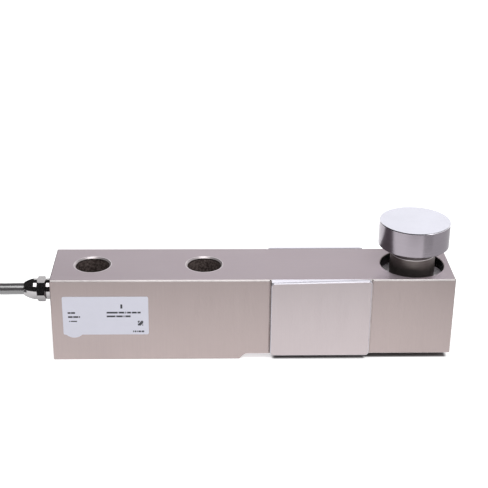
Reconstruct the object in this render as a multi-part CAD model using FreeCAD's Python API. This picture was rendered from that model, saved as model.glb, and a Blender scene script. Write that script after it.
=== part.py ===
import FreeCAD, Part
import math
import os

# Cantilever shear beam load cell, in millimetres.
# Origin: centre of the two mounting bores, on the underside of the mounting foot.
# +X runs along the beam to the load button, +Y to the rear face, +Z up.
# The beam is clamped at its foot; the load on the button bends the raised part.
# Two blind pockets leave a thin web, and the strain gauges on it read the shear.

Vec = FreeCAD.Vector
X_AXIS = Vec(1, 0, 0)
Y_AXIS = Vec(0, 1, 0)
Z_AXIS = Vec(0, 0, 1)

# Beam
beam_width = 38.0
beam_height = 45.0
foot_step = 3.0
step_slope_deg = 50.0
step_root_radius = 4.0
root_share_of_slope = 0.9
front_top_chamfer = 0.75
edge_break = 0.4

# Places along the beam, each measured from the one before
end_to_first_bore = 20.0
mount_bore_spacing = 57.0
last_bore_to_foot_end = 18.0
last_bore_to_pocket_centre = 58.8
pocket_centre_to_load = 48.2
load_to_tip = 19.4

# Mounting bores
mount_bore_diameter = 17.0
bore_lip_chamfer = 0.85
tool_overrun = 1.0

# Gauge pockets, one from each side
pocket_length = 38.0
pocket_height = 27.0
pocket_corner_radius = 6.0
web_thickness = 6.0

# Cover plates over the pockets
cover_length = 50.5
cover_thickness = 2.0
cover_bevel = 0.4
cover_corner_radius = 1.6
cover_drop = 0.1
front_cover_top_fall = 1.1
weld_groove_width = 0.8
weld_groove_depth = 0.6

# Load end
load_pocket_diameter = 32.5
load_pocket_depth = 5.5
load_pocket_lip = 0.4
load_thread_diameter = 18.0
load_thread_clearance = 0.05
load_hole_chamfer = 1.0

# Load button
head_diameter = 36.0
head_thickness = 13.0
head_top_round = 0.35
head_foot_bevel = 0.35
neck_diameter = 23.0
neck_length = 16.8
undercut_diameter = 21.4
undercut_width = 3.4
shank_length = 30.0
shank_bevel = 1.2

# Cable passage beside the bores
bore_to_passage_wall = 1.5
passage_height = 25.0
passage_diameter = 5.0
cross_hole_diameter = 4.0
cross_hole_inset = 7.0

# Cable gland
gland_thread_diameter = 8.0
gland_thread_length = 9.0
gland_port_spare = 1.0
gland_thread_clearance = 0.05
gland_collar_wall = 1.6
gland_collar_length = 6.1
gland_collar_bevel = 0.5
gland_spigot_length = 2.6
face_ring_groove = 0.8
cap_hex_across_flats = 11.6
cap_hex_length = 4.6
cap_ring_length = 1.7
cap_nose_length = 5.2
cap_nose_rise = 0.25
cap_mouth_diameter = 7.2
cap_turn_deg = 6.0
cap_wall_clearance = 0.05
seal_length = 3.6
washer_thickness = 0.6
jacket_clearance = 0.1

# Cable
cable_diameter = 6.1
jacket_inside_gland = 1.0
core_diameter = 1.3
core_gap = 0.06
cable_cores = (
    # colour, side step, height step, pad on the board
    ("red", -1, -1, 0),
    ("black", 1, -1, 0),
    ("green", -1, 1, 1),
    ("white", 1, 1, 1),
)

# Compensation board in the rear pocket
board_length = 24.0
board_side_clearance = 2.0
board_thickness = 1.0
board_pad_inset = 2.6
board_pad_pitch = 3.0
board_edge_margin = 1.0
resistor_count = 4
resistor_length = 3.2
resistor_width = 1.6
resistor_height = 0.7
resistor_pitch = 2.6

# Strain gauges and terminal strips on the web
gauge_length = 10.0
gauge_height = 9.0
gauge_film = 0.1
grid_foil = 0.06
grid_line_width = 0.35
grid_line_length = 3.6
grid_line_pitch = 0.8
grid_offset = 2.3
strip_length = 12.0
strip_height = 3.4
strip_thickness = 0.8
strip_drop = 8.6
tab_count = 4
tab_pitch = 2.6
gauge_lead_diameter = 0.25
hookup_wire_diameter = 0.6
tab_half_gap = 0.8
bridge_wire_pitch = 0.78
bridge_wire_rise = 1.6
bridge_wire_step = 0.9

# Rating label on the front face
label_end_margin = 5.8
label_bottom = 14.7
label_length = 43.1
label_height = 21.4
label_thickness = 0.12
label_corner_radius = 0.9
label_bulge_start = 1.4
label_bulge_length = 8.0
label_bulge_lowest = 3.6
label_bulge_depth = 1.7

# Put-away cable: a tied hank in line with the beam
cord_pitch = 6.15
hank_layers = 5
hank_inner_radius = 18.4
hank_run = 97.5
hank_near_end = -103.5
hank_centre_y = -6.0
tie_width = 4.6
tie_thickness = 0.8
tie_inset = 26.0
tie_head_length = 6.0
tie_head_width = 6.4
tie_head_height = 4.2
tie_head_round = 0.6

# Far end of the cable
sleeve_length = 18.0
sleeve_wall = 0.45
lead_spread = 1.15
lead_straight_length = 7.0
lead_drop_length = 8.0
lead_tip_length = 5.0
floor_gap = 0.05
lead_tip_diameter = 0.8
drain_diameter = 0.9
flying_leads = (
    # name, diameter, side step, height step, sideways fan, reach past the sleeve
    ("red", core_diameter, 1, -1, 2.4, 25.0),
    ("black", core_diameter, -1, -1, -2.2, 23.0),
    ("green", core_diameter, 1, 1, 5.6, 26.0),
    ("white", core_diameter, -1, 1, -5.8, 24.0),
    ("shield", drain_diameter, 0, 0, 0.3, 22.0),
)

# Bends of the cable and the wires
bend_share_of_run = 0.45
route_rise = 0.3
rest_gap = 0.1

# Places that follow from the sizes above
last_bore_x = mount_bore_spacing / 2
end_face_x = -last_bore_x - end_to_first_bore
foot_end_x = last_bore_x + last_bore_to_foot_end
pocket_x = last_bore_x + last_bore_to_pocket_centre
load_x = pocket_x + pocket_centre_to_load
tip_face_x = load_x + load_to_tip
front_face_y = -beam_width / 2
passage_offset = mount_bore_diameter / 2 + bore_to_passage_wall + passage_diameter / 2
gland_collar_diameter = gland_thread_diameter + 2 * gland_collar_wall
core_pitch = core_diameter + core_gap
pocket_z = (foot_step + beam_height) / 2
pocket_left_x = pocket_x - pocket_length / 2
pocket_floor_z = pocket_z - pocket_height / 2
web_face_y = web_thickness / 2
pocket_seat_z = beam_height - load_pocket_depth
board_left_x = pocket_x - board_length / 2
board_low_y = web_face_y + board_side_clearance
board_high_y = beam_width / 2 - board_side_clearance
board_top_z = pocket_floor_z + board_thickness
strip_z = pocket_z - strip_drop
strip_face_y = web_face_y + strip_thickness
cord_radius = cable_diameter / 2
sleeve_radius = cord_radius + sleeve_wall
hank_outer_radius = hank_inner_radius + cord_pitch
first_layer_z = tie_thickness + cord_radius
top_layer_z = first_layer_z + (hank_layers - 1) * cord_pitch
outer_track_y = hank_centre_y + hank_outer_radius
near_fold_x = hank_near_end - hank_outer_radius - cord_radius
far_fold_x = near_fold_x - hank_run

# Route of the cable from inside the gland to the hank's top layer
lead_in_route = [
    (end_face_x - jacket_inside_gland, passage_offset, passage_height),
    (-84.0, passage_offset, passage_height),
    (-112.0, 14.9, top_layer_z + route_rise),
    (-142.0, outer_track_y, top_layer_z),
    (-164.0, outer_track_y, top_layer_z),
]

# Route of the cable from the hank's lowest turn to the shrink sleeve
tail_route = [
    (far_fold_x, hank_centre_y - hank_inner_radius, first_layer_z),
    (-213.0, -23.2, first_layer_z),
    (-199.0, -18.2, first_layer_z - rest_gap),
    (-186.0, -13.0, sleeve_radius + rest_gap),
    (-174.0, -11.2, sleeve_radius + rest_gap),
]


def export(name, shape):
    """Write one sub-part as STEP."""
    shape.exportStep("parts/" + name + ".step")
    print(name, "volume", round(shape.Volume, 2), "solids", len(shape.Solids), "valid", shape.isValid())


def cylinder(diameter, length, base, direction):
    """A plain cylinder that starts at base and runs along direction."""
    return Part.makeCylinder(diameter / 2, length, base, direction)


def block(low, high):
    """A box between two corners."""
    return Part.makeBox(high[0] - low[0], high[1] - low[1], high[2] - low[2], Vec(*low))


def turned(profile, base, axis, radial):
    """A turned solid from (distance along the axis, radius) pairs."""
    corners = [base + axis * along + radial * radius for along, radius in profile]
    face = Part.Face(Part.makePolygon(corners + [corners[0]]))
    return face.revolve(base, axis, 360)


def rounded_plate(x_low, x_high, z_low, z_high, radius, y_from, y_to):
    """A plate with rounded corners that stands in the XZ plane."""
    plate = block((x_low, y_from, z_low), (x_high, y_to, z_high))
    upright = [e for e in plate.Edges if abs(e.tangentAt(e.FirstParameter).y) > 0.5]
    return plate.makeFillet(radius, upright)


def edges_in_plane(solid, axis, place):
    """The edges that lie wholly at one place along an axis."""
    tolerance = 1e-4
    found = []
    for edge in solid.Edges:
        box = edge.BoundBox
        low = getattr(box, axis + "Min")
        high = getattr(box, axis + "Max")
        if abs(low - place) < tolerance and abs(high - place) < tolerance:
            found.append(edge)
    return found


def bend_path(points):
    """Straight runs joined by tangent arcs, each as large as its two runs allow."""
    route = [Vec(*p) for p in points]
    pieces = []
    radii = []
    start = route[0]
    for before, here, after in zip(route, route[1:], route[2:]):
        back = (before - here).normalize()
        ahead = (after - here).normalize()
        turn = math.pi - back.getAngle(ahead)
        shorter = min((before - here).Length, (after - here).Length)
        setback = bend_share_of_run * shorter
        radius = setback / math.tan(turn / 2)
        arc_start = here + back * setback
        arc_end = here + ahead * setback
        inward = (back + ahead).normalize()
        middle = here + inward * (radius / math.cos(turn / 2) - radius)
        pieces.append(Part.LineSegment(start, arc_start).toShape())
        pieces.append(Part.Arc(arc_start, middle, arc_end).toShape())
        radii.append(radius)
        start = arc_end
    pieces.append(Part.LineSegment(start, route[-1]).toShape())
    return Part.Wire(pieces), radii


def routed_tube(points, diameter):
    """A round tube along a bent path, closed at both ends."""
    path, radii = bend_path(points)
    first = Vec(*points[0])
    heading = Vec(*points[1]) - first
    circle = Part.Wire(Part.makeCircle(diameter / 2, first, heading))
    tube = path.makePipeShell([circle], True, True)
    return tube, path, radii


def check_tube(name, tube, path, radii, diameter):
    """Print the bend radii, and the volume against section times length."""
    expected = math.pi * diameter ** 2 / 4 * path.Length
    print(name, "length", round(path.Length, 1), "smallest radius", round(min(radii), 1),
          "volume share", round(tube.Volume / expected, 4))


def beam_outline():
    """Side outline of the beam: a foot, a sloped step with a round root, and the raised part."""
    slope = math.radians(step_slope_deg)
    root_x = foot_end_x + foot_step / math.tan(slope)
    slope_length = foot_step / math.sin(slope)
    longest_setback = root_share_of_slope * slope_length
    root_radius = min(step_root_radius, longest_setback / math.tan(slope / 2))
    setback = root_radius * math.tan(slope / 2)
    on_slope = Vec(root_x - setback * math.cos(slope), 0, foot_step - setback * math.sin(slope))
    on_flat = Vec(root_x + setback, 0, foot_step)
    arc_centre = Vec(root_x + setback, 0, foot_step - root_radius)
    middle = arc_centre + Vec(-math.sin(slope / 2), 0, math.cos(slope / 2)) * root_radius
    low_end = Vec(end_face_x, 0, 0)
    foot_end = Vec(foot_end_x, 0, 0)
    low_tip = Vec(tip_face_x, 0, foot_step)
    top_tip = Vec(tip_face_x, 0, beam_height)
    top_end = Vec(end_face_x, 0, beam_height)
    edges = [
        Part.LineSegment(low_end, foot_end).toShape(),
        Part.LineSegment(foot_end, on_slope).toShape(),
        Part.Arc(on_slope, middle, on_flat).toShape(),
        Part.LineSegment(on_flat, low_tip).toShape(),
        Part.LineSegment(low_tip, top_tip).toShape(),
        Part.LineSegment(top_tip, top_end).toShape(),
        Part.LineSegment(top_end, low_end).toShape(),
    ]
    return Part.Wire(edges)


def beam_blank():
    """The milled bar with its outer edges broken."""
    face = Part.Face(beam_outline())
    face.translate(Vec(0, front_face_y, 0))
    bar = face.extrude(Vec(0, beam_width, 0))
    top = [e for e in edges_in_plane(bar, "Z", beam_height) if e.BoundBox.XLength > beam_width]
    bar = bar.makeChamfer(front_top_chamfer, [e for e in top if e.BoundBox.YMax < 0])
    top = [e for e in edges_in_plane(bar, "Z", beam_height) if e.BoundBox.XLength > beam_width]
    rear_top = [e for e in top if e.BoundBox.YMin > 0]
    low = edges_in_plane(bar, "Z", 0) + edges_in_plane(bar, "Z", foot_step)
    low = [e for e in low if e.BoundBox.XLength > beam_width / 2]
    ends = edges_in_plane(bar, "X", end_face_x) + edges_in_plane(bar, "X", tip_face_x)
    return bar.makeChamfer(edge_break, rear_top + low + ends)


def mounting_bore(x):
    """One through bore with a chamfered lip at both ends."""
    radius = mount_bore_diameter / 2
    lip = bore_lip_chamfer
    spare = tool_overrun
    profile = [
        (-spare, 0),
        (-spare, radius + lip + spare),
        (lip, radius),
        (beam_height - lip, radius),
        (beam_height + spare, radius + lip + spare),
        (beam_height + spare, 0),
    ]
    return turned(profile, Vec(x, 0, 0), Z_AXIS, X_AXIS)


def gauge_pocket(side):
    """Blind pocket from one side down to the web. Side is -1 at the front and 1 at the rear."""
    y_web = side * web_face_y
    y_face = side * beam_width / 2
    return rounded_plate(
        pocket_left_x, pocket_left_x + pocket_length,
        pocket_floor_z, pocket_floor_z + pocket_height,
        pocket_corner_radius, min(y_web, y_face), max(y_web, y_face),
    )


def weld_groove(side, end):
    """Narrow groove beside a cover plate, where its weld is sunk."""
    edge_x = pocket_x + end * cover_length / 2
    x_low = min(edge_x, edge_x + end * weld_groove_width)
    y_face = side * beam_width / 2
    y_root = y_face - side * weld_groove_depth
    return block(
        (x_low, min(y_face, y_root), 0),
        (x_low + weld_groove_width, max(y_face, y_root), beam_height),
    )


def load_hole():
    """Counterbored and tapped hole that takes the load button."""
    seat = pocket_seat_z
    radius = load_pocket_diameter / 2
    thread_radius = load_thread_diameter / 2 + load_thread_clearance
    chamfer = load_hole_chamfer
    lip = load_pocket_lip
    spare = tool_overrun
    profile = [
        (foot_step - spare, 0),
        (foot_step - spare, thread_radius + chamfer + spare),
        (foot_step + chamfer, thread_radius),
        (seat, thread_radius),
        (seat, radius),
        (beam_height - lip, radius),
        (beam_height + spare, radius + lip + spare),
        (beam_height + spare, 0),
    ]
    return turned(profile, Vec(load_x, 0, 0), Z_AXIS, X_AXIS)


def cable_passage():
    """Tapped port for the gland, the wire passage behind it, and the hole through the web."""
    port_depth = gland_thread_length + gland_port_spare
    start = Vec(end_face_x, passage_offset, passage_height)
    port_diameter = gland_thread_diameter + 2 * gland_thread_clearance
    port = cylinder(port_diameter, port_depth, start, X_AXIS)
    reach = pocket_left_x - end_face_x + pocket_corner_radius
    passage = cylinder(passage_diameter, reach, start, X_AXIS)
    cross_start = Vec(pocket_left_x + cross_hole_inset, -web_thickness, pocket_z)
    cross = cylinder(cross_hole_diameter, 2 * web_thickness, cross_start, Y_AXIS)
    return port.fuse(passage).fuse(cross)


def beam_body():
    """The machined beam: one piece of stainless steel."""
    body = beam_blank()
    for x in (-last_bore_x, last_bore_x):
        body = body.cut(mounting_bore(x))
    for side in (-1, 1):
        body = body.cut(gauge_pocket(side))
        for end in (-1, 1):
            body = body.cut(weld_groove(side, end))
    body = body.cut(load_hole())
    return body.cut(cable_passage())


def cover_plate(side, top_fall):
    """Cover plate welded over a gauge pocket. Its top edge falls towards the gland by top_fall."""
    x_low = pocket_x - cover_length / 2
    x_high = pocket_x + cover_length / 2
    z_low = foot_step - cover_drop
    corners = [
        Vec(x_low, 0, z_low),
        Vec(x_high, 0, z_low),
        Vec(x_high, 0, beam_height),
        Vec(x_low, 0, beam_height - top_fall),
    ]
    face = Part.Face(Part.makePolygon(corners + [corners[0]]))
    seat_y = side * beam_width / 2
    face.translate(Vec(0, seat_y, 0))
    plate = face.extrude(Vec(0, side * cover_thickness, 0))
    edges = [e for e in plate.Edges if e.BoundBox.YLength > cover_thickness / 2]
    plate = plate.makeFillet(cover_corner_radius, edges)
    outer = edges_in_plane(plate, "Y", seat_y + side * cover_thickness)
    return plate.makeChamfer(cover_bevel, outer)


def load_button():
    """Turned stud: mushroom head, neck that stands on the pocket's floor, and threaded shank."""
    head_foot = neck_length
    head_top = neck_length + head_thickness
    head_radius = head_diameter / 2
    neck_radius = neck_diameter / 2
    undercut_radius = undercut_diameter / 2
    shoulder = neck_radius - undercut_radius
    shank_radius = load_thread_diameter / 2
    round_off = head_top_round * (1 - math.cos(math.radians(45)))
    profile = [
        (-shank_length, 0),
        (-shank_length, shank_radius - shank_bevel),
        (-shank_length + shank_bevel, shank_radius),
        (0, shank_radius),
        (0, neck_radius),
        (head_foot - undercut_width - shoulder, neck_radius),
        (head_foot - undercut_width, undercut_radius),
        (head_foot, undercut_radius),
        (head_foot, head_radius - head_foot_bevel),
        (head_foot + head_foot_bevel, head_radius),
        (head_top - head_top_round, head_radius),
        (head_top - round_off, head_radius - round_off),
        (head_top, head_radius - head_top_round),
        (head_top, 0),
    ]
    return turned(profile, Vec(load_x, 0, pocket_seat_z), Z_AXIS, X_AXIS)


def shear_gauge(side):
    """Foil gauge bonded to the web: a film with two grids at 45 degrees to the beam."""
    y_web = side * web_face_y
    y_film = y_web + side * gauge_film
    film = block(
        (pocket_x - gauge_length / 2, min(y_web, y_film), pocket_z - gauge_height / 2),
        (pocket_x + gauge_length / 2, max(y_web, y_film), pocket_z + gauge_height / 2),
    )
    lines = []
    for half in (-1, 1):
        grid_x = pocket_x + half * grid_offset
        for step in (-1, 0, 1):
            low = (-grid_line_length / 2, min(0, side * grid_foil), -grid_line_width / 2)
            high = (grid_line_length / 2, max(0, side * grid_foil), grid_line_width / 2)
            line = block(low, high)
            line.translate(Vec(0, 0, step * grid_line_pitch))
            line.rotate(Vec(0, 0, 0), Y_AXIS, 45 * half)
            line.translate(Vec(grid_x, y_film, pocket_z))
            lines.append(line)
    return film.multiFuse(lines)


def terminal_strip(side):
    """Glass-cloth strip for the solder tabs, bonded to the web under the gauge."""
    y_web = side * web_face_y
    y_face = side * strip_face_y
    return block(
        (pocket_x - strip_length / 2, min(y_web, y_face), strip_z - strip_height / 2),
        (pocket_x + strip_length / 2, max(y_web, y_face), strip_z + strip_height / 2),
    )


def tab_places():
    """The X places of the solder tabs."""
    middle = (tab_count - 1) / 2
    return [pocket_x + (i - middle) * tab_pitch for i in range(tab_count)]


def gauge_leads(side):
    """Fine wires on the web, from the gauge's lower edge to the strip's upper edge."""
    low_z = strip_z + strip_height / 2
    high_z = pocket_z - gauge_height / 2
    y = side * (web_face_y + gauge_lead_diameter / 2)
    leads = [cylinder(gauge_lead_diameter, high_z - low_z, Vec(x, y, low_z), Z_AXIS) for x in tab_places()]
    return Part.makeCompound(leads)


def bridge_wires():
    """Wires that join the front strip to the rear strip through the hole in the web."""
    hole_x = pocket_left_x + cross_hole_inset
    tab_z = strip_z + tab_half_gap
    wires = []
    for i, x in enumerate(tab_places()):
        level = strip_face_y + bridge_wire_rise + bridge_wire_step * i
        through_x = hole_x + (i % 2 - 0.5) * bridge_wire_pitch
        through_z = pocket_z + (i // 2 - 0.5) * bridge_wire_pitch
        route = [
            (x, -strip_face_y, tab_z),
            (x, -level, tab_z),
            (through_x, -level, through_z),
            (through_x, level, through_z),
            (x, level, tab_z),
            (x, strip_face_y, tab_z),
        ]
        wires.append(routed_tube(route, hookup_wire_diameter)[0])
    return Part.makeCompound(wires)


def compensation_board():
    """Small circuit board bonded to the lower wall of the rear pocket."""
    return block(
        (board_left_x, board_low_y, pocket_floor_z),
        (board_left_x + board_length, board_high_y, board_top_z),
    )


def trim_resistors():
    """Chip resistors in a row on the board, which trim zero and span."""
    chips = []
    first_x = board_left_x + board_length - board_pad_inset - (resistor_count - 1) * resistor_pitch
    y_low = board_high_y - board_edge_margin - resistor_length
    for i in range(resistor_count):
        x = first_x + i * resistor_pitch
        chip = block(
            (x - resistor_width / 2, y_low, board_top_z),
            (x + resistor_width / 2, y_low + resistor_length, board_top_z + resistor_height),
        )
        chips.append(chip)
    return Part.makeCompound(chips)


def board_wires():
    """Wires from the board up to the rear strip's lower tabs."""
    tab_z = strip_z - tab_half_gap
    rise_y = board_low_y + board_edge_margin
    wires = []
    for x in tab_places():
        route = [(x, rise_y, board_top_z), (x, rise_y, tab_z), (x, strip_face_y, tab_z)]
        wires.append(routed_tube(route, hookup_wire_diameter)[0])
    return Part.makeCompound(wires)


def inner_core(y_step, z_step, pad):
    """One cable core from the jacket's end, along the passage and down to its pad on the board."""
    y = passage_offset + y_step * core_pitch / 2
    z = passage_height + z_step * core_pitch / 2
    pad_x = board_left_x + board_pad_inset + pad * board_pad_pitch
    route = [
        (end_face_x - jacket_inside_gland, y, z),
        (pad_x, y, z),
        (pad_x, y, board_top_z),
    ]
    return routed_tube(route, core_diameter)[0]


def gland_point(distance):
    """A point on the gland's axis, this far out from the end face."""
    return Vec(end_face_x - distance, passage_offset, passage_height)


def gland_profile(profile):
    """A turned gland part from (distance out from the end face, radius) pairs."""
    return turned(profile, gland_point(0), -X_AXIS, Z_AXIS)


def gland_body():
    """Gland body: shank in the end face, round collar, and spigot for the cap nut."""
    shank_radius = gland_thread_diameter / 2
    collar_radius = gland_collar_diameter / 2
    bevel = gland_collar_bevel
    jacket_hole = cord_radius + jacket_clearance
    core_hole = passage_diameter / 2
    end = gland_collar_length + gland_spigot_length
    profile = [
        (-gland_thread_length, core_hole),
        (-gland_thread_length, shank_radius - bevel),
        (-gland_thread_length + bevel, shank_radius),
        (0, shank_radius),
        (face_ring_groove, shank_radius),
        (face_ring_groove, collar_radius),
        (gland_collar_length - bevel, collar_radius),
        (gland_collar_length, collar_radius - bevel),
        (gland_collar_length, shank_radius),
        (end, shank_radius),
        (end, jacket_hole),
        (jacket_inside_gland, jacket_hole),
        (jacket_inside_gland, core_hole),
    ]
    return gland_profile(profile)


def gland_face_ring():
    """Sealing ring squeezed between the gland's collar and the beam's end face."""
    profile = [
        (0, gland_thread_diameter / 2),
        (0, gland_collar_diameter / 2),
        (face_ring_groove, gland_collar_diameter / 2),
        (face_ring_groove, gland_thread_diameter / 2),
    ]
    return gland_profile(profile)


def seal_start():
    """Where the gland's rubber seal begins, out from the end face."""
    return gland_collar_length + gland_spigot_length


def seal_radius():
    """The outer radius of the seal, a sliding fit in the cap nut."""
    return gland_thread_diameter / 2


def gland_seal():
    """Rubber sleeve that the cap nut squeezes onto the cable."""
    start = seal_start()
    profile = [
        (start, cord_radius),
        (start, seal_radius()),
        (start + seal_length, seal_radius()),
        (start + seal_length, cord_radius),
    ]
    return gland_profile(profile)


def gland_thrust_washer():
    """Thin washer that lets the cap nut turn without twisting the seal."""
    start = seal_start() + seal_length
    profile = [
        (start, cord_radius + jacket_clearance),
        (start, seal_radius()),
        (start + washer_thickness, seal_radius()),
        (start + washer_thickness, cord_radius + jacket_clearance),
    ]
    return gland_profile(profile)


def gland_cap_nut():
    """Plated cap nut: hexagon with turned corners, short ring, and domed nose down to the cable."""
    hex_start = gland_collar_length
    hex_end = hex_start + cap_hex_length
    ring_end = hex_end + cap_ring_length
    nose_end = ring_end + cap_nose_length
    corner_radius = cap_hex_across_flats / math.sqrt(3)
    collar_radius = gland_collar_diameter / 2
    bore_radius = gland_thread_diameter / 2 + cap_wall_clearance
    shoulder = seal_start() + seal_length + washer_thickness
    mouth_hole = cord_radius + jacket_clearance
    mouth_radius = cap_mouth_diameter / 2
    outline = [
        (nose_end, mouth_radius),
        (nose_end, 0),
        (hex_start, 0),
        (hex_start, collar_radius),
        (hex_start + (corner_radius - collar_radius) / 2, corner_radius),
        (hex_end - (corner_radius - collar_radius) / 2, corner_radius),
        (hex_end, collar_radius),
        (ring_end, collar_radius),
    ]
    outline = [gland_point(distance) + Z_AXIS * radius for distance, radius in outline]
    crest = gland_point((ring_end + nose_end) / 2) + Z_AXIS * ((collar_radius + mouth_radius) / 2 + cap_nose_rise)
    nose_line = Part.Arc(outline[-1], crest, outline[0]).toShape()
    face = Part.Face(Part.Wire(Part.makePolygon(outline).Edges + [nose_line]))
    envelope = face.revolve(gland_point(0), X_AXIS, 360)
    corners = []
    for i in range(7):
        angle = math.radians(60 * i + cap_turn_deg)
        corners.append(gland_point(hex_start) + Vec(0, math.cos(angle), math.sin(angle)) * corner_radius)
    prism = Part.Face(Part.makePolygon(corners)).extrude(-X_AXIS * cap_hex_length)
    nose = cylinder(gland_collar_diameter, nose_end - hex_end, gland_point(hex_end), -X_AXIS)
    nut = prism.fuse(nose).common(envelope)
    bore = cylinder(2 * bore_radius, shoulder - hex_start, gland_point(hex_start), -X_AXIS)
    mouth = cylinder(2 * mouth_hole, nose_end - shoulder + tool_overrun, gland_point(shoulder), -X_AXIS)
    return nut.cut(bore).cut(mouth)


def stadium(radius, height, base_z):
    """A prism with two straight sides and two round ends, about the hank's middle."""
    near_low = Vec(near_fold_x, hank_centre_y - radius, base_z)
    near_tip = Vec(near_fold_x + radius, hank_centre_y, base_z)
    near_high = Vec(near_fold_x, hank_centre_y + radius, base_z)
    far_high = Vec(far_fold_x, hank_centre_y + radius, base_z)
    far_tip = Vec(far_fold_x - radius, hank_centre_y, base_z)
    far_low = Vec(far_fold_x, hank_centre_y - radius, base_z)
    edges = [
        Part.Arc(near_low, near_tip, near_high).toShape(),
        Part.LineSegment(near_high, far_high).toShape(),
        Part.Arc(far_high, far_tip, far_low).toShape(),
        Part.LineSegment(far_low, near_low).toShape(),
    ]
    return Part.Face(Part.Wire(edges)).extrude(Vec(0, 0, height))


def hank_profile():
    """The hank's outer shape: turns on an outer and an inner track, one layer lower inside."""
    middle_radius = (hank_inner_radius + hank_outer_radius) / 2
    outer_height = top_layer_z + cord_radius
    inner_height = outer_height - cord_pitch
    depth = outer_height - tie_thickness
    outer = stadium(hank_outer_radius + cord_radius, depth, tie_thickness)
    lowered = stadium(middle_radius, cord_pitch, inner_height)
    hollow = stadium(hank_inner_radius - cord_radius, depth, tie_thickness)
    return outer.cut(lowered).cut(hollow)


def tie_strap(x, side):
    """One strap drawn round one side of the hank, over the step between its two tracks."""
    inner_y = hank_centre_y + side * (hank_inner_radius - cord_radius)
    middle_y = hank_centre_y + side * (hank_inner_radius + hank_outer_radius) / 2
    outer_y = hank_centre_y + side * (hank_outer_radius + cord_radius)
    low_z = tie_thickness
    high_z = top_layer_z + cord_radius
    corners = [
        Vec(0, inner_y, low_z),
        Vec(0, outer_y, low_z),
        Vec(0, outer_y, high_z),
        Vec(0, middle_y, high_z),
        Vec(0, inner_y, high_z - cord_pitch),
    ]
    bundle = Part.Face(Part.makePolygon(corners + [corners[0]]))
    loop = bundle.makeOffset2D(tie_thickness).cut(bundle)
    loop.translate(Vec(x - tie_width / 2, 0, 0))
    strap = loop.extrude(Vec(tie_width, 0, 0))
    lock_y = min(outer_y, outer_y - side * tie_head_length)
    lock_x = x - tie_head_width / 2
    lock = Part.makeBox(
        tie_head_width, tie_head_length, tie_head_height,
        Vec(lock_x, lock_y, high_z + tie_thickness),
    )
    return strap.fuse(lock.makeFillet(tie_head_round, lock.Edges))


def hank_ties():
    """Two nylon ties, one round each side of the hank."""
    near = tie_strap(near_fold_x - tie_inset, -1)
    far = tie_strap(far_fold_x + tie_inset, 1)
    return Part.makeCompound([near, far])


def far_end(distance, y_shift, z_shift):
    """A point past the end of the tail, along the tail's last run."""
    last = Vec(*tail_route[-1])
    heading = (last - Vec(*tail_route[-2])).normalize()
    across = Z_AXIS.cross(heading)
    return last + heading * distance + across * y_shift + Z_AXIS * z_shift


def end_sleeve():
    """Shrink sleeve over the end of the jacket."""
    start = far_end(0, 0, 0)
    heading = far_end(1, 0, 0) - start
    return cylinder(2 * sleeve_radius, sleeve_length, start, heading)


def flying_lead(diameter, y_step, z_step, fan, reach):
    """One lead with a tinned tip: straight out of the sleeve, down, and along the floor."""
    y_start = y_step * lead_spread
    z_start = z_step * lead_spread
    z_rest = diameter / 2 + floor_gap - tail_route[-1][2]
    drop_end = lead_straight_length + lead_drop_length
    y_drop = y_start + fan * drop_end / reach
    route = [
        far_end(sleeve_length, y_start, z_start),
        far_end(sleeve_length + lead_straight_length, y_start, z_start),
        far_end(sleeve_length + drop_end, y_drop, z_rest),
        far_end(sleeve_length + reach, y_start + fan, z_rest),
    ]
    insulation = routed_tube([tuple(p) for p in route], diameter)[0]
    heading = route[-1] - route[-2]
    tip = cylinder(lead_tip_diameter, lead_tip_length, route[-1], heading)
    return insulation.fuse(tip)


def rating_label():
    """Printed film label on the front face, with a bulge in its lower edge."""
    x_low = end_face_x + label_end_margin
    x_high = x_low + label_length
    z_low = label_bottom
    z_high = z_low + label_height
    label = rounded_plate(
        x_low, x_high, z_low, z_high, label_corner_radius,
        front_face_y - label_thickness, front_face_y,
    )
    start = Vec(x_low + label_bulge_start, front_face_y, z_low)
    end = start + Vec(label_bulge_length, 0, 0)
    low = start + Vec(label_bulge_lowest, 0, -label_bulge_depth)
    edges = [Part.Arc(start, low, end).toShape(), Part.LineSegment(end, start).toShape()]
    bulge = Part.Face(Part.Wire(edges)).extrude(Vec(0, -label_thickness, 0))
    return label.fuse(bulge).removeSplitter()


def main():
    """Build every sub-part and write it."""
    os.makedirs("parts", exist_ok=True)
    export("beam_body", beam_body())
    export("front_cover_plate", cover_plate(-1, front_cover_top_fall))
    export("rear_cover_plate", cover_plate(1, 0))
    export("load_button", load_button())
    for name, side in (("front", -1), ("rear", 1)):
        export(name + "_shear_gauge", shear_gauge(side))
        export(name + "_terminal_strip", terminal_strip(side))
        export(name + "_gauge_leads", gauge_leads(side))
    export("bridge_wires", bridge_wires())
    export("board_wires", board_wires())
    export("compensation_board", compensation_board())
    export("trim_resistors", trim_resistors())
    for colour, y_step, z_step, pad in cable_cores:
        export("inner_core_" + colour, inner_core(y_step, z_step, pad))
    for name, diameter, y_step, z_step, fan, reach in flying_leads:
        export("lead_" + name, flying_lead(diameter, y_step, z_step, fan, reach))
    export("gland_body", gland_body())
    export("gland_face_ring", gland_face_ring())
    export("gland_seal", gland_seal())
    export("gland_thrust_washer", gland_thrust_washer())
    export("gland_cap_nut", gland_cap_nut())
    run_tube, run_path, run_radii = routed_tube(lead_in_route, cable_diameter)
    check_tube("cable_run", run_tube, run_path, run_radii, cable_diameter)
    export("cable_run", run_tube)
    tail_tube, tail_path, tail_radii = routed_tube(tail_route, cable_diameter)
    check_tube("cable_tail", tail_tube, tail_path, tail_radii, cable_diameter)
    export("cable_tail", tail_tube)
    export("cable_hank", hank_profile().cut(run_tube).cut(tail_tube))
    export("hank_ties", hank_ties())
    export("end_sleeve", end_sleeve())
    export("rating_label", rating_label())


main()
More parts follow.
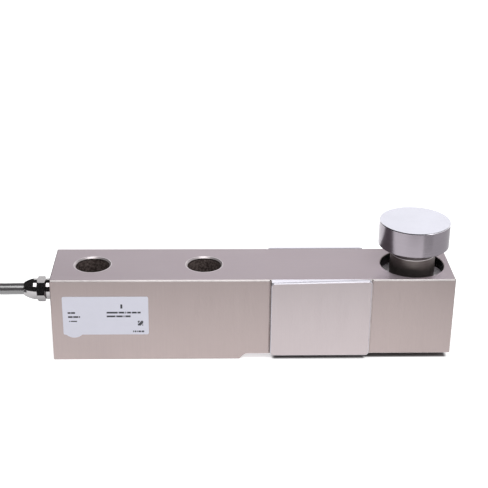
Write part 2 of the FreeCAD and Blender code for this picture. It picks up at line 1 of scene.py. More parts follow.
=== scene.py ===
# %% [markdown]
# A cantilever beam load cell, dressed for its portrait.
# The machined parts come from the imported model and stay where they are. This lesson gives each of
# them its finish and adds what only shows up close: the cable at its real length, the weld beads
# beside the cover plates and the plain bars on the label.

import math

import bmesh
import bpy
from mathutils import Matrix, Vector


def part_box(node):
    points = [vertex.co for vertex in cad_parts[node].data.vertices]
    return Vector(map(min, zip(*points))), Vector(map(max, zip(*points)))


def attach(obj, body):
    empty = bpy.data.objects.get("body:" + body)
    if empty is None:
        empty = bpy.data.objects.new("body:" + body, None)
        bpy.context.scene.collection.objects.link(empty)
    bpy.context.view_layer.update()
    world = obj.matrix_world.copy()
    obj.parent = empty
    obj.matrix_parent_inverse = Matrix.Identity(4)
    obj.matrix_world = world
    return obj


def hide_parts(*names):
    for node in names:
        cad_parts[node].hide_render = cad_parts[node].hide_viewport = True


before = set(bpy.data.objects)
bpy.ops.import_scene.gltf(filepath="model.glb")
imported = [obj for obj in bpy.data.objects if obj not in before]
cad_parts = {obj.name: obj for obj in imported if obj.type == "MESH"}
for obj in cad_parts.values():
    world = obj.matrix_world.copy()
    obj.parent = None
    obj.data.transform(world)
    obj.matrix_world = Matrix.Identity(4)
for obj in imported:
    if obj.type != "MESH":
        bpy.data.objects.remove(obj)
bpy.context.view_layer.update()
scene = bpy.context.scene
MM = 0.001
print("nodes loaded:", len(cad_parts))

# %% [markdown]
# The camera. It could be matched by eye, but its place was worked out from the beam's own edges, so
# these are a real place and real angles: 0.63 m from the load cell, looking down 24 degrees, and
# turned and rolled a little.
# A camera's axes are the columns of its matrix: X to the right, Y up and Z backwards.

# %% Camera
PHOTO_SIDE_PX = 488
FOCAL_LENGTH_PX = 1173.06
SENSOR_MM = 36.0
camera_place = Vector((29.314, -544.065, 302.253)) * MM
camera_turn, camera_dip, camera_roll = map(math.radians, (-2.048, 24.314, -0.734))

level_right = Vector((math.cos(camera_turn), math.sin(camera_turn), 0))
ahead = Vector((-math.sin(camera_turn) * math.cos(camera_dip),
                math.cos(camera_turn) * math.cos(camera_dip),
                -math.sin(camera_dip)))
level_down = ahead.cross(level_right)
right = level_right * math.cos(camera_roll) + level_down * math.sin(camera_roll)
down = level_down * math.cos(camera_roll) - level_right * math.sin(camera_roll)

camera_data = bpy.data.cameras.new("portrait_camera")
camera_data.sensor_width = SENSOR_MM
camera_data.lens = FOCAL_LENGTH_PX / PHOTO_SIDE_PX * SENSOR_MM
camera = bpy.data.objects.new("portrait_camera", camera_data)
scene.collection.objects.link(camera)
camera.matrix_world = Matrix.Translation(camera_place) @ Matrix((right, -down, -ahead)).transposed().to_4x4()
scene.camera = camera
print("lens", round(camera_data.lens, 2), "mm")

# %% [markdown]
# Shader trees are easier to read when each node is one line of code. These helpers place a node,
# set its inputs and link it: an input that is given a socket is linked, and any other is set.

# %% Helpers for shader trees
def feed(node, inputs):
    """Set a node's inputs, or link them to the sockets given."""
    for key, value in inputs.items():
        if isinstance(value, bpy.types.NodeSocket):
            node.id_data.links.new(value, node.inputs[key])
        else:
            node.inputs[key].default_value = value


def place(tree, kind, inputs, **settings):
    """Add one node."""
    node = tree.nodes.new(kind)
    for name, value in settings.items():
        setattr(node, name, value)
    feed(node, inputs)
    return node


def work_out(tree, operation, first, second=0.0, clamp=False):
    """One step of arithmetic."""
    inputs = {0: first, 1: second}
    return place(tree, "ShaderNodeMath", inputs, operation=operation, use_clamp=clamp).outputs[0]


def scaled(tree, value, factor):
    """A value times a factor."""
    return work_out(tree, "MULTIPLY", value, factor)


def vector_step(tree, operation, first, second=None, output=0):
    """Arithmetic on a place or a direction. The output named Value is a plain number."""
    inputs = {0: first} if second is None else {0: first, 1: second}
    return place(tree, "ShaderNodeVectorMath", inputs, operation=operation).outputs[output]


def parts_of(tree, vector):
    """The X, Y and Z of a place or a direction."""
    return place(tree, "ShaderNodeSeparateXYZ", {0: vector}).outputs


def remap(tree, value, low, high, new_low=0, new_high=1, smooth=False):
    """Stretch low..high to new_low..new_high, and hold it there outside."""
    kind = "SMOOTHSTEP" if smooth else "LINEAR"
    inputs = {"Value": value, "From Min": low, "From Max": high, "To Min": new_low, "To Max": new_high}
    return place(tree, "ShaderNodeMapRange", inputs, interpolation_type=kind).outputs[0]


def between(tree, share, low, high):
    """A number from low to high, by a share from 0 to 1."""
    return remap(tree, share, 0, 1, low, high)


def blend(tree, share, first, second):
    """Two numbers mixed by a share."""
    return place(tree, "ShaderNodeMix", {0: share, 2: first, 3: second}).outputs[0]


def mix(tree, share, first, second, way="MIX"):
    """Two colours mixed by a share. The colour sockets of a Mix node are numbers 6 and 7."""
    inputs = {0: share, 6: first, 7: second}
    return place(tree, "ShaderNodeMix", inputs, data_type="RGBA", blend_type=way).outputs[2]


def noise(tree, where, scale, detail=2.0, roughness=0.5):
    """Smooth noise from 0 to 1."""
    inputs = {"Vector": where, "Scale": scale, "Detail": detail, "Roughness": roughness}
    return place(tree, "ShaderNodeTexNoise", inputs).outputs["Fac"]


def slanted_wave(tree, where, scale, distortion=0.0, profile="SIN"):
    """Slanted stripes from 0 to 1."""
    inputs = {"Vector": where, "Scale": scale, "Distortion": distortion}
    return place(tree, "ShaderNodeTexWave", inputs, wave_type="BANDS", bands_direction="DIAGONAL",
                 wave_profile=profile).outputs["Fac"]


# %% [markdown]
# An effect that several finishes share is built once, as a node group with named inputs and outputs.
# This helper makes the empty group. In Blender 4.5 its sockets belong to the group's interface.

# %% Helper for node groups
NUMBER, DIRECTION = "NodeSocketFloat", "NodeSocketVector"


def start_group(name, inputs, outputs):
    """A group: inputs with their start values, and outputs, which are all numbers."""
    tree = bpy.data.node_groups.new(name, "ShaderNodeTree")
    for label, value in inputs.items():
        kind = DIRECTION if isinstance(value, tuple) else NUMBER
        tree.interface.new_socket(label, in_out="INPUT", socket_type=kind).default_value = value
    for label in outputs:
        tree.interface.new_socket(label, in_out="OUTPUT", socket_type=NUMBER)
    print("group:", name)
    return tree, tree.nodes.new("NodeGroupInput").outputs, tree.nodes.new("NodeGroupOutput")


# %% [markdown]
# Which way a face looks. A machined block has flat faces and slanted chamfers between them, and the
# surface normal tells them apart: the largest of its three parts is 1 on a flat face and about 0.7
# on a chamfer. That is exact on CAD meshes, where curvature tricks are not.

# %% Group: way a face looks
LEVEL_LIMITS, LONG_EDGE_LIMITS, SLANTED_LIMITS = (0.75, 0.9), (0.9, 0.98), (0.97, 0.85)
facing, entry, leave = start_group(
    "Way a face looks", {"Normal": (0, 0, 0)}, ["Level", "Long edge", "Slanted"])
along_x, along_y, along_z = [work_out(facing, "ABSOLUTE", part) for part in parts_of(facing, entry["Normal"])]
largest = work_out(facing, "MAXIMUM", work_out(facing, "MAXIMUM", along_x, along_y), along_z)
towards_long_edge = scaled(facing, work_out(facing, "ADD", along_y, along_z), math.sqrt(0.5))
feed(leave, {"Level": remap(facing, along_z, *LEVEL_LIMITS),
             "Long edge": remap(facing, towards_long_edge, *LONG_EDGE_LIMITS),
             "Slanted": remap(facing, largest, *SLANTED_LIMITS)})

# %% [markdown]
# Brushed grain. Grinding and brushing leave fine parallel scratches. Noise that is squeezed across
# the stroke and stretched along it looks like them at any scale, and needs no texture map. Fine and
# coarse scratches are mixed, because one scale alone looks like a printed pattern.

# %% Group: brushed grain
COARSER = 0.28
FINE_SHARE, COARSE_SHARE = 0.6, 0.4
GRAIN_SPREAD = (0.36, 0.64)
brushed, entry, leave = start_group(
    "Brushed grain", {"Coordinates": (0, 0, 0), "Squeeze": (1, 1, 1), "Fineness": 1000.0},
    ["Grain", "Height"])
squeezed = vector_step(brushed, "MULTIPLY", entry["Coordinates"], entry["Squeeze"])
fine = noise(brushed, squeezed, entry["Fineness"], detail=3.0, roughness=0.6)
coarse = noise(brushed, squeezed, scaled(brushed, entry["Fineness"], COARSER))
both = work_out(brushed, "ADD", scaled(brushed, fine, FINE_SHARE), scaled(brushed, coarse, COARSE_SHARE))
feed(leave, {"Grain": remap(brushed, both, *GRAIN_SPREAD), "Height": fine})

# %% [markdown]
# Handling marks. Bare metal is never one even grey: cleaning, thumbs and oil leave soft clouds. They
# come from slow noise, and they change tone and roughness only a little. Noise keeps to the middle
# of its range, so it is stretched before it is used.

# %% Group: handling marks
NOISE_SPREAD = (0.3, 0.7)
handled, entry, leave = start_group(
    "Handling marks", {"Coordinates": (0, 0, 0), "Cloud scale": 40.0}, ["Cloud"])
cloud = noise(handled, entry["Coordinates"], entry["Cloud scale"], detail=4.0, roughness=0.55)
feed(leave, {"Cloud": remap(handled, cloud, *NOISE_SPREAD)})

# %% [markdown]
# Inside an upright bore. The beam paints a bore's wall darker and less metallic than the ground faces
# round it, a painted shade in the hole, and the wall belongs to the same solid, so it needs a mask.
# The distance from the bore's axis gives one, because only the wall lies at the bore's radius or
# nearer. The same distance finds the bevelled lip round the mouth, and a thin ring outside the lip;
# the beam paints both bright, as painted highlights.

# %% Group: inside an upright bore
WALL_TO_LIP = (0.05 * MM, 0.2 * MM)
LIP_BLUR = 0.2 * MM
RIM_TO_FACE = (0.25 * MM, 0.5 * MM)


def from_axis(tree, entry, flatten):
    """The way from an axis to the surface, and the distance across the axis."""
    offset = vector_step(tree, "SUBTRACT", entry["Coordinates"], entry["Axis place"])
    return offset, vector_step(tree, "LENGTH", vector_step(tree, "MULTIPLY", offset, flatten), output="Value")


in_bore, entry, leave = start_group(
    "Inside an upright bore",
    {"Coordinates": (0, 0, 0), "Axis place": (0, 0, 0), "Radius": 8.5 * MM, "Lip": 0.85 * MM},
    ["Inside", "On lip", "Rim highlight"])
distance = from_axis(in_bore, entry, (1, 1, 0))[1]
beyond = work_out(in_bore, "SUBTRACT", distance, entry["Radius"])
past_lip = work_out(in_bore, "SUBTRACT", beyond, entry["Lip"])
lip_starts = remap(in_bore, beyond, *WALL_TO_LIP)
lip_ends = remap(in_bore, past_lip, -LIP_BLUR, 0, 1, 0)
rim_starts = remap(in_bore, past_lip, -LIP_BLUR, 0)
rim_ends = remap(in_bore, past_lip, *RIM_TO_FACE, 1, 0)
feed(leave, {"Inside": remap(in_bore, beyond, *WALL_TO_LIP, 1, 0),
             "On lip": scaled(in_bore, lip_starts, lip_ends),
             "Rim highlight": scaled(in_bore, rim_starts, rim_ends)})

# %% [markdown]
# Turning marks. A lathe leaves a very fine groove round the axis: rings on a face and hoops on a
# side. The distance from the axis plus the height gives one number that grows across the grooves on
# both, and noise along that number alone makes them uneven, as feed marks are.

# %% Group: turning marks
turned, entry, leave = start_group(
    "Turning marks",
    {"Coordinates": (0, 0, 0), "Axis place": (0, 0, 0), "Axis flatten": (1, 1, 0), "Axis keep": (0, 0, 1),
     "Marks per metre": 3000.0},
    ["Marks", "Height"])
offset, distance = from_axis(turned, entry, entry["Axis flatten"])
along = vector_step(turned, "DOT_PRODUCT", offset, entry["Axis keep"], output="Value")
across_marks = place(turned, "ShaderNodeCombineXYZ", {0: work_out(turned, "ADD", distance, along)}).outputs[0]
marks = noise(turned, across_marks, entry["Marks per metre"], detail=3.0, roughness=0.65)
feed(leave, {"Marks": remap(turned, marks, *NOISE_SPREAD), "Height": marks})

# %% [markdown]
# Moulded skin. Cable jackets, ties and sleeves are extruded or moulded: an even colour with a slight
# unevenness and a fine dull texture. One group gives a tone and a height for all of them.

# %% Group: moulded skin
TEXTURE_SHARE, SLOW_SHARE = 0.35, 0.65
skin, entry, leave = start_group(
    "Moulded skin", {"Coordinates": (0, 0, 0), "Texture scale": 3000.0, "Cloud scale": 60.0},
    ["Tone", "Height"])
texture = noise(skin, entry["Coordinates"], entry["Texture scale"])
slow = noise(skin, entry["Coordinates"], entry["Cloud scale"], detail=3.0)
tone = work_out(skin, "ADD", scaled(skin, texture, TEXTURE_SHARE), scaled(skin, slow, SLOW_SHARE))
feed(leave, {"Tone": remap(skin, tone, *NOISE_SPREAD), "Height": texture})

# %% [markdown]
# Every material starts the same way: a Principled shader, and coordinates that are fixed to the
# object. All objects sit at the origin, so those coordinates are metres in the load cell's own frame.

# %% Helpers for materials
SHADER = "Principled BSDF"


def start_material(name):
    """A new material with its tree, its shader and its coordinates."""
    material = bpy.data.materials.new(name)
    material.use_nodes = True
    tree = material.node_tree
    print("material:", name)
    return material, tree, tree.nodes[SHADER], place(tree, "ShaderNodeTexCoord", {}).outputs


def use_group(tree, group, where, values):
    """Place a group in a material with its own values, and give back its outputs."""
    return place(tree, "ShaderNodeGroup", {"Coordinates": where["Object"], **values}, node_tree=group).outputs


def shade(tree, colour, tone, dark, light):
    """A colour made darker and lighter by a tone from 0 to 1."""
    factor = between(tree, tone, dark, light)
    grey = place(tree, "ShaderNodeCombineColor", {0: factor, 1: factor, 2: factor}).outputs[0]
    return mix(tree, 1.0, colour, grey, way="MULTIPLY")


def bumps(tree, height, depth, strength):
    """A tilt of the shading, from a height. depth is in metres."""
    inputs = {"Height": height, "Distance": depth, "Strength": strength}
    return place(tree, "ShaderNodeBump", inputs).outputs[0]


# %% [markdown]
# Ground steel. The beam and its cover plates are stainless steel, ground flat. The stroke runs along
# the beam on top and upright on the sides, so two grains are mixed by the way the face looks. The top
# and the sides get separate colours, which paint how light falls on each. The sides are lighter lower
# down, a painted light from the floor; the top is lighter from the middle on, and both are darker at
# the tip. The broken long edges have their own colour, with painted shade on the lower part of the
# top edge and a painted highlight on the edges under the raised part.

# %% Ground steel
STROKE_ALONG, STROKE_UP = (0.03, 1, 1), (1, 1, 0.03)
TOP_STROKES, SIDE_STROKES = 2600.0, 2200.0
STROKE_BUMPS = {"depth": 0.01 * MM, "strength": 0.35}
CLOUD_TONES = (0.96, 1.04)
TOP_RISE, TOP_TONES = (-40 * MM, 60 * MM), (0.99, 1.07)
FLOOR_LIGHT_FALL, FLOOR_LIGHT_TONES = (0, 44 * MM), (0.97, 1.11)
TIP_FALL, TIP_TONES = (125 * MM, 155 * MM), (0.92, 1.0)
MID_HEIGHT = 22 * MM
EDGE_SHADE_TO_HIGHLIGHT, EDGE_SHADE_TONE = (44.3 * MM, 44.6 * MM), 0.56
FOOT_TO_RAISED, EDGE_HIGHLIGHT_GAIN = (2.0 * MM, 2.6 * MM), 1.85
ROUGH_BY_GRAIN, ROUGH_BY_CLOUD = 0.05, 0.06


def painted_edge_light(tree, up, edge):
    """The colour of the broken long edges, with painted shade and a painted highlight by their height."""
    top_edge = remap(tree, up, *EDGE_SHADE_TO_HIGHLIGHT, EDGE_SHADE_TONE / EDGE_HIGHLIGHT_GAIN, 1 / EDGE_HIGHLIGHT_GAIN)
    low_edge = remap(tree, up, *FOOT_TO_RAISED, 1 / EDGE_HIGHLIGHT_GAIN, 1)
    tone = blend(tree, work_out(tree, "GREATER_THAN", up, MID_HEIGHT), low_edge, top_edge)
    return shade(tree, edge, tone, 0, EDGE_HIGHLIGHT_GAIN)


def ground_steel(name, side, top, edge, roughness, grain_depth):
    """A ground finish, without its colour linked, so that a material can add to it."""
    material, tree, shader, where = start_material(name)
    looks = place(tree, "ShaderNodeGroup", {"Normal": where["Normal"]}, node_tree=facing).outputs
    level = use_group(tree, brushed, where, {"Squeeze": STROKE_ALONG, "Fineness": TOP_STROKES})
    upright = use_group(tree, brushed, where, {"Squeeze": STROKE_UP, "Fineness": SIDE_STROKES})
    grain, height = [blend(tree, looks["Level"], upright[way], level[way]) for way in ("Grain", "Height")]
    cloud = use_group(tree, handled, where, {"Cloud scale": 28.0})["Cloud"]
    parts = parts_of(tree, where["Object"])

    top = shade(tree, top, remap(tree, parts["X"], *TOP_RISE), *TOP_TONES)
    # The top and side colours differ as painted light, for how light falls on each face.
    colour = mix(tree, looks["Level"], side, top)
    colour = shade(tree, colour, grain, 1 - grain_depth, 1 + grain_depth)
    colour = shade(tree, colour, cloud, *CLOUD_TONES)
    # Painted light: lighter lower down, for the light from the floor.
    colour = shade(tree, colour, remap(tree, parts["Z"], *FLOOR_LIGHT_FALL, 1, 0), *FLOOR_LIGHT_TONES)
    colour = shade(tree, colour, remap(tree, parts["X"], *TIP_FALL, 1, 0), *TIP_TONES)
    # Painted shade and a painted highlight on the long edges, by height.
    colour = mix(tree, looks["Long edge"], colour, painted_edge_light(tree, parts["Z"], edge))
    rough = between(tree, grain, roughness - ROUGH_BY_GRAIN, roughness + ROUGH_BY_GRAIN)
    rough = work_out(tree, "ADD", rough, scaled(tree, cloud, ROUGH_BY_CLOUD))
    feed(shader, {"Roughness": rough, "Metallic": 1.0, "Normal": bumps(tree, height, **STROKE_BUMPS)})
    return material, tree, shader, where, looks, colour


# %% [markdown]
# The beam's own material adds its bores and the load pocket to the ground finish. A bore's wall is
# painted dark, a painted shade in the hole, in random patches, darkest just under the mouth. Its
# bevelled lip and a thin ring round it are painted bright, as painted highlights. The pocket's wall
# is painted nearly black, a painted shade under the button's head, and its floor pale, a painted light.

# %% Beam steel: colours
BORE_RADIUS, POCKET_RADIUS = 8.5 * MM, 16.25 * MM
LOAD_X = 135.5 * MM
BORES = ((-28.5 * MM, BORE_RADIUS), (28.5 * MM, BORE_RADIUS), (LOAD_X, POCKET_RADIUS))
UNDER_POCKET_FLOOR_Z = 39.4 * MM
RIM_HIGHLIGHT, LIP_HIGHLIGHT = (0.86, 0.8, 0.82, 1), (0.62, 0.56, 0.57, 1)
BORE_SHADE_DARK, BORE_SHADE_LIGHT = (0.06, 0.042, 0.038, 1), (0.28, 0.225, 0.21, 1)
BORE_PATCH_SCALE, BORE_PATCH_SPREAD = 1000.0, (0.4, 0.68)
UNDER_MOUTH, MOUTH_SHADE_TONES = (43.2 * MM, 44.0 * MM), (0.25, 1.0)
POCKET_WALL_SHADE, POCKET_FLOOR_LIGHT = (0.015, 0.013, 0.013, 1), (0.95, 0.9, 0.92, 1)

beam_steel, tree, shader, where, looks, colour = ground_steel(
    "beam_steel", side=(0.377, 0.317, 0.31, 1), top=(0.53, 0.451, 0.488, 1),
    edge=(0.43, 0.402, 0.398, 1), roughness=0.36, grain_depth=0.035)
first_bore, second_bore, pocket = [
    use_group(tree, in_bore, where, {"Axis place": (x, 0, 0), "Radius": radius}) for x, radius in BORES]
inside, rim_highlight, on_lip = [work_out(tree, "ADD", first_bore[mask], second_bore[mask], clamp=True)
                        for mask in ("Inside", "Rim highlight", "On lip")]
up = parts_of(tree, where["Object"])["Z"]
in_pocket = scaled(tree, pocket["Inside"], work_out(tree, "GREATER_THAN", up, UNDER_POCKET_FLOOR_Z))

# Painted highlights on the thin ring round each bore and on its lip.
colour = mix(tree, rim_highlight, colour, RIM_HIGHLIGHT)
colour = mix(tree, on_lip, colour, LIP_HIGHLIGHT)
# Painted shade in the bores, in random patches, darkest at the mouth.
patch = noise(tree, where["Object"], BORE_PATCH_SCALE, detail=4.0, roughness=0.7)
bore_shade = mix(tree, remap(tree, patch, *BORE_PATCH_SPREAD), BORE_SHADE_DARK, BORE_SHADE_LIGHT)
bore_shade = shade(tree, bore_shade, remap(tree, up, *UNDER_MOUTH, 1, 0), *MOUTH_SHADE_TONES)
colour = mix(tree, inside, colour, bore_shade)
# Painted shade on the pocket's wall and painted light on its floor.
pocket_shade_and_light = mix(tree, looks["Level"], POCKET_WALL_SHADE, POCKET_FLOOR_LIGHT)
feed(shader, {"Base Color": mix(tree, in_pocket, colour, pocket_shade_and_light)})

# %% [markdown]
# How metallic the beam is. A wholly metallic face shows only what it mirrors, so a flat top turns
# black where it faces something dark. Satin steel scatters some light as well, so the top, the lips
# and the pocket's floor are a little less than full metal. The bore walls are the least metallic.

# %% Beam steel: shine
BORE_WALL_DULL, LIP_DULL, FLOOR_DULL, TOP_SATIN = 0.75, 0.3, 0.5, 0.3
dull = work_out(tree, "ADD", scaled(tree, inside, BORE_WALL_DULL), scaled(tree, on_lip, LIP_DULL))
on_pocket_floor = scaled(tree, in_pocket, looks["Level"])
dull = work_out(tree, "ADD", dull, scaled(tree, on_pocket_floor, FLOOR_DULL))
dull = work_out(tree, "MAXIMUM", dull, scaled(tree, looks["Level"], TOP_SATIN))
feed(shader, {"Metallic": work_out(tree, "SUBTRACT", 1.0, dull, clamp=True)})

# %% [markdown]
# The cover plates are thinner sheet with a finer, paler finish, so they get the same recipe with a
# lighter colour and a weaker grain. Their top faces and slanted edges are dressed by hand to a satin
# finish, which is less metallic. Their colours there are near white, a painted light and painted
# highlight from the light above.

# %% Cover steel
SLANT_HIGHLIGHT, SATIN_METALLIC = (0.62, 0.6, 0.65, 1), 0.5
# The pale top colour is painted light from above.
cover_steel, tree, shader, where, looks, colour = ground_steel(
    "cover_steel", side=(0.445, 0.394, 0.401, 1), top=(0.82, 0.80, 0.88, 1),
    edge=(0.5, 0.48, 0.53, 1), roughness=0.34, grain_depth=0.03)
satin = work_out(tree, "MAXIMUM", looks["Slanted"], looks["Level"])
# Painted highlight on the slanted edges.
feed(shader, {"Base Color": mix(tree, looks["Slanted"], colour, SLANT_HIGHLIGHT),
              "Metallic": between(tree, satin, 1, SATIN_METALLIC)})

# %% [markdown]
# Turned steel. The load button comes off a lathe and mirrors more sharply than the beam. Marks run
# round its axis. Its bevel and top are painted pale, a painted highlight and painted light from above,
# and the top is satin, as it is rubbed by the load. The neck is painted dark, a painted shade under the
# head, apart from one thin bright ring at its shoulder.

# %% Button steel: colours
HEAD_FOOT_Z = 56.3 * MM
SHOULDER_LOW_Z, SHOULDER_HIGH_Z = 51.55 * MM, 52.05 * MM
SOFT_STEP = 0.1 * MM
NECK_SHADE, HEAD_STEEL = (0.185, 0.158, 0.15, 1), (0.33, 0.298, 0.329, 1)
SHOULDER_RING, BEVEL_HIGHLIGHT = (0.66, 0.62, 0.62, 1), (0.82, 0.80, 0.86, 1)
BUTTON_TOP_LIGHT = (0.84, 0.835, 0.93, 1)
SIDE_TO_BEVEL, BEVEL_TO_TOP = (0.15, 0.3), (0.97, 0.995)
button_steel, tree, shader, where = start_material("button_steel")
rings = use_group(tree, turned, where, {"Axis place": (LOAD_X, 0, 0), "Marks per metre": 1500.0})
cloud = use_group(tree, handled, where, {"Cloud scale": 60.0})["Cloud"]
up = parts_of(tree, where["Object"])["Z"]
tilt = work_out(tree, "ABSOLUTE", parts_of(tree, where["Normal"])["Z"])
on_head = remap(tree, up, HEAD_FOOT_Z - 2 * SOFT_STEP, HEAD_FOOT_Z)
ring_low = remap(tree, up, SHOULDER_LOW_Z, SHOULDER_LOW_Z + SOFT_STEP)
ring_high = remap(tree, up, SHOULDER_HIGH_Z - SOFT_STEP, SHOULDER_HIGH_Z, 1, 0)
on_bevel = scaled(tree, remap(tree, tilt, *SIDE_TO_BEVEL), on_head)
on_top = remap(tree, tilt, *BEVEL_TO_TOP)

# Painted shade: the neck is darker than the head.
side = mix(tree, on_head, NECK_SHADE, HEAD_STEEL)
side = mix(tree, scaled(tree, ring_low, ring_high), side, SHOULDER_RING)
side = shade(tree, side, rings["Marks"], dark=0.84, light=1.12)
# Painted highlight on the bevel, and painted light on the top.
side = mix(tree, on_bevel, side, BEVEL_HIGHLIGHT)
colour = mix(tree, on_top, side, BUTTON_TOP_LIGHT)
feed(shader, {"Base Color": shade(tree, colour, cloud, dark=0.97, light=1.03)})

# %% Button steel: shine
MARKS_ROUGH = (0.16, 0.28)
NECK_ROUGHER, NECK_METALLIC, TOP_LESS_METALLIC = 0.19, 0.8, 0.5
neck_rough = between(tree, on_head, NECK_ROUGHER, 0)
metallic = between(tree, on_head, NECK_METALLIC, 1)
feed(shader, {
    "Roughness": work_out(tree, "ADD", between(tree, rings["Marks"], *MARKS_ROUGH), neck_rough),
    "Metallic": work_out(tree, "SUBTRACT", metallic, scaled(tree, on_top, TOP_LESS_METALLIC)),
    "Normal": bumps(tree, rings["Height"], depth=0.03 * MM, strength=0.6)})

# %% [markdown]
# Bright nickel plate on the gland: nearly a mirror, with faint turning marks round the cable's axis.
# Its colour darkens towards the underside, a painted shade.

# %% Nickel plate
CABLE_Y, CABLE_Z = 12.5 * MM, 25.0 * MM
NICKEL, NICKEL_ROUGH, NICKEL_METALLIC = (0.52, 0.502, 0.508, 1), (0.05, 0.12), 0.97
UNDERSIDE_Z, BRIGHT_Z = CABLE_Z - 6.5 * MM, CABLE_Z + 2.8 * MM
nickel, tree, shader, where = start_material("nickel_plate")
rings = use_group(tree, turned, where, {
    "Axis place": (0, CABLE_Y, CABLE_Z), "Axis flatten": (0, 1, 1), "Axis keep": (1, 0, 0),
    "Marks per metre": 4000.0})
cloud = use_group(tree, handled, where, {"Cloud scale": 150.0})["Cloud"]
colour = shade(tree, NICKEL, cloud, dark=0.92, light=1.04)
# Painted shade towards the underside.
underside_shade = remap(tree, parts_of(tree, where["Object"])["Z"], UNDERSIDE_Z, BRIGHT_Z)
feed(shader, {"Base Color": shade(tree, colour, underside_shade, dark=0.38, light=1.0),
              "Roughness": between(tree, cloud, *NICKEL_ROUGH), "Metallic": NICKEL_METALLIC,
              "Normal": bumps(tree, rings["Height"], depth=0.004 * MM, strength=0.2)})

# %% [markdown]
# The plastics share one recipe: a base colour, a tone from the moulded skin, and a roughness. The
# cable's jacket also has a clear coat, because its smooth skin shows a sharp streak of light.

# %% Plastics and rubbers
def plastic(name, base, roughness, texture_scale=3000.0, spread=0.08):
    """A moulded or extruded plastic in one colour."""
    material, tree, shader, where = start_material(name)
    surface = use_group(tree, skin, where, {"Texture scale": texture_scale})
    feed(shader, {"Base Color": shade(tree, (*base, 1), surface["Tone"], 1 - spread, 1 + spread),
                  "Roughness": between(tree, surface["Tone"], roughness - 0.04, roughness + 0.05),
                  "Normal": bumps(tree, surface["Height"], depth=0.02 * MM, strength=0.5)})
    return material


JACKET_GLOSS = {"Coat Weight": 1.0, "Coat Roughness": 0.09, "Coat IOR": 2.1, "IOR": 1.6}
cable_jacket = plastic("cable_jacket", (0.112, 0.105, 0.11), 0.3, texture_scale=1500.0)
feed(cable_jacket.node_tree.nodes[SHADER], JACKET_GLOSS)
seal_rubber = plastic("seal_rubber", (0.022, 0.022, 0.024), 0.6)
shrink_sleeve = plastic("shrink_sleeve", (0.018, 0.018, 0.02), 0.42, texture_scale=1200.0)
board_green = plastic("glass_cloth_board", (0.05, 0.16, 0.07), 0.4, texture_scale=5000.0)
resistor_black = plastic("resistor_body", (0.02, 0.02, 0.022), 0.5)
gauge_amber = plastic("gauge_film", (0.45, 0.2, 0.04), 0.25, texture_scale=6000.0)

# %% [markdown]
# The put-away cable is tied with two nylon ties. A tie has a row of fine teeth across its strap, and
# a slanted saw-tooth wave crosses the strap all the way round.

# %% Tie nylon
NYLON = (0.03, 0.03, 0.032, 1)
tie_nylon, tree, shader, where = start_material("tie_nylon")
tone = use_group(tree, skin, where, {"Texture scale": 4000.0})["Tone"]
teeth = slanted_wave(tree, where["Object"], scale=160.0, profile="SAW")
feed(shader, {"Base Color": shade(tree, NYLON, tone, dark=0.85, light=1.2),
              "Roughness": between(tree, tone, low=0.36, high=0.46),
              "Normal": bumps(tree, teeth, depth=0.15 * MM, strength=0.5)})

# %% [markdown]
# Copper and tinned copper. A stranded wire shows its twist, so a slanted wave tilts the shading.

# %% Bare wire
def wire_metal(name, base, roughness):
    """A bare, twisted wire."""
    material, tree, shader, where = start_material(name)
    twist = slanted_wave(tree, where["Object"], scale=700.0, distortion=1.0)
    feed(shader, {"Base Color": shade(tree, (*base, 1), twist, dark=0.7, light=1.1),
                  "Roughness": between(tree, twist, roughness, roughness + 0.15), "Metallic": 1.0,
                  "Normal": bumps(tree, twist, depth=0.1 * MM, strength=0.6)})
    return material


TIN = (0.66, 0.66, 0.67)
bare_copper = wire_metal("bare_copper", (0.72, 0.40, 0.24), 0.25)
tinned_copper = wire_metal("tinned_copper", TIN, 0.28)

# %% [markdown]
# The cores and flying leads have a coloured insulation, and each flying lead ends in a tinned tip.
# The tip lies past a known place along X, so a simple step there turns plastic into metal.

# %% Lead insulation
TIP_LENGTH, TIP_MARGIN = 5.0 * MM, 0.1 * MM


def lead_finish(name, base, tip_start=None):
    """Coloured insulation, with a tinned tip past tip_start along X if that is given."""
    material, tree, shader, where = start_material(name)
    surface = use_group(tree, skin, where, {"Texture scale": 4000.0})
    colour = shade(tree, (*base, 1), surface["Tone"], dark=0.9, light=1.1)
    height = surface["Height"]
    if tip_start is not None:
        on_tip = work_out(tree, "GREATER_THAN", parts_of(tree, where["Object"])["X"], tip_start)
        twist = slanted_wave(tree, where["Object"], scale=900.0)
        colour = mix(tree, on_tip, colour, shade(tree, (*TIN, 1), twist, dark=0.75, light=1.1))
        height = blend(tree, on_tip, height, twist)
        feed(shader, {"Metallic": on_tip})
    feed(shader, {"Base Color": colour, "Roughness": between(tree, surface["Tone"], low=0.34, high=0.44),
                  "Normal": bumps(tree, height, depth=0.05 * MM, strength=0.5)})
    return material


WIRE_COLOURS = {"red": (0.50, 0.025, 0.02), "black": (0.02, 0.02, 0.022),
                "green": (0.03, 0.24, 0.07), "white": (0.72, 0.72, 0.70)}
lead_materials = {}
for name, base in WIRE_COLOURS.items():
    tip_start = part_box("lead_" + name)[1].x - TIP_LENGTH + TIP_MARGIN
    lead_materials["lead_" + name] = lead_finish("lead_" + name + "_finish", base, tip_start)
    lead_materials["inner_core_" + name] = lead_finish("core_" + name + "_finish", base)
hookup_white = lead_finish("hookup_insulation", WIRE_COLOURS["white"])

# %% [markdown]
# The rating label is a polyester film with a cold white face. Film is smooth but not flat: it
# follows tiny lumps of its glue, which a slow, shallow bump gives.

